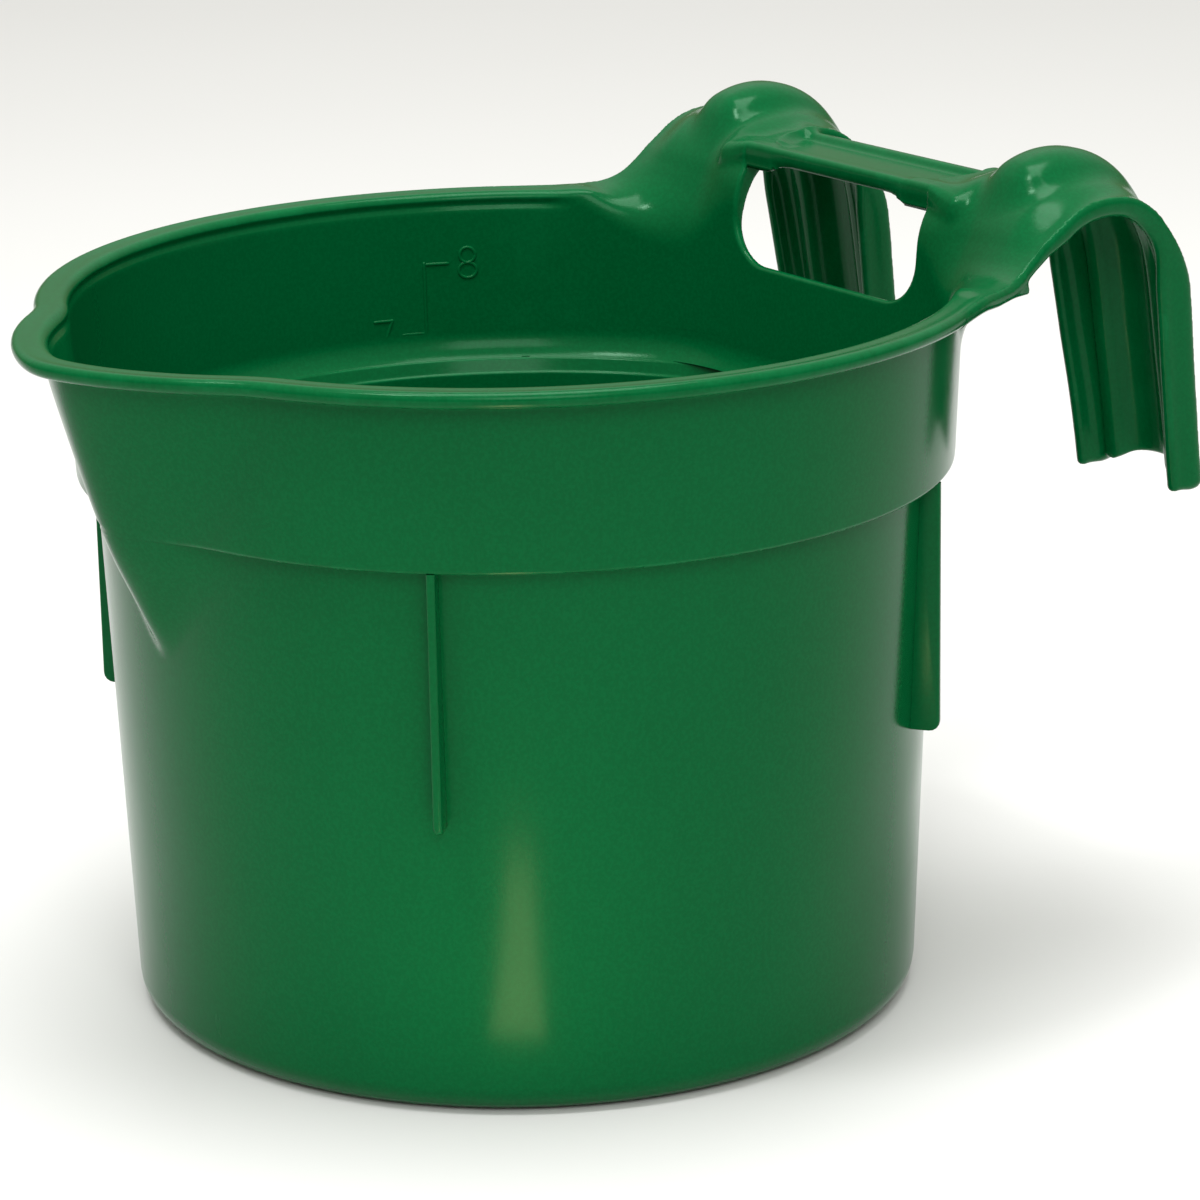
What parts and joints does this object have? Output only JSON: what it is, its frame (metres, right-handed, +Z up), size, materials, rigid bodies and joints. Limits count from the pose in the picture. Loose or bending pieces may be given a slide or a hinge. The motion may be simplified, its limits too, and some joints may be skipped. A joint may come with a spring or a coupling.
{
  "type": "hook-over feed bucket",
  "caption": "Round green plastic feed bucket with a flat back, a pouring lip, a stepped upper band and two broad hooks joined by a grip bar for hanging over a rail.",
  "frame": {"origin": "centre of the round base, on the floor", "axes": "+Z up; -Y towards the pouring lip; +Y towards the hooks; X across the two hooks"},
  "size_m": [0.2668, 0.3423, 0.2365],
  "materials": {
    "plastic": "gloss, moulded, lightly scuffed"
  },
  "bodies": {
    "root": {"tub_floor": "plastic", "tub_wall": "plastic", "shoulder_step": "plastic", "upper_band": "plastic", "rim_lip": "plastic", "back_wall": "plastic", "pour_spout": "plastic", "spout_lip": "plastic", "grip_bar": "plastic", "hook_root_left": "plastic", "hook_inner_strap_left": "plastic", "hook_outer_strap_left": "plastic", "hook_crown_left": "plastic", "hook_root_right": "plastic", "hook_inner_strap_right": "plastic", "hook_outer_strap_right": "plastic", "hook_crown_right": "plastic", "rib_front_left": "plastic", "rib_front_right": "plastic", "rib_back_left": "plastic", "rib_back_right": "plastic", "level_line": "plastic", "level_tick_upper": "plastic", "level_tick_lower": "plastic", "level_figure_upper": "plastic", "level_figure_lower": "plastic"}
  },
  "joints": []
}
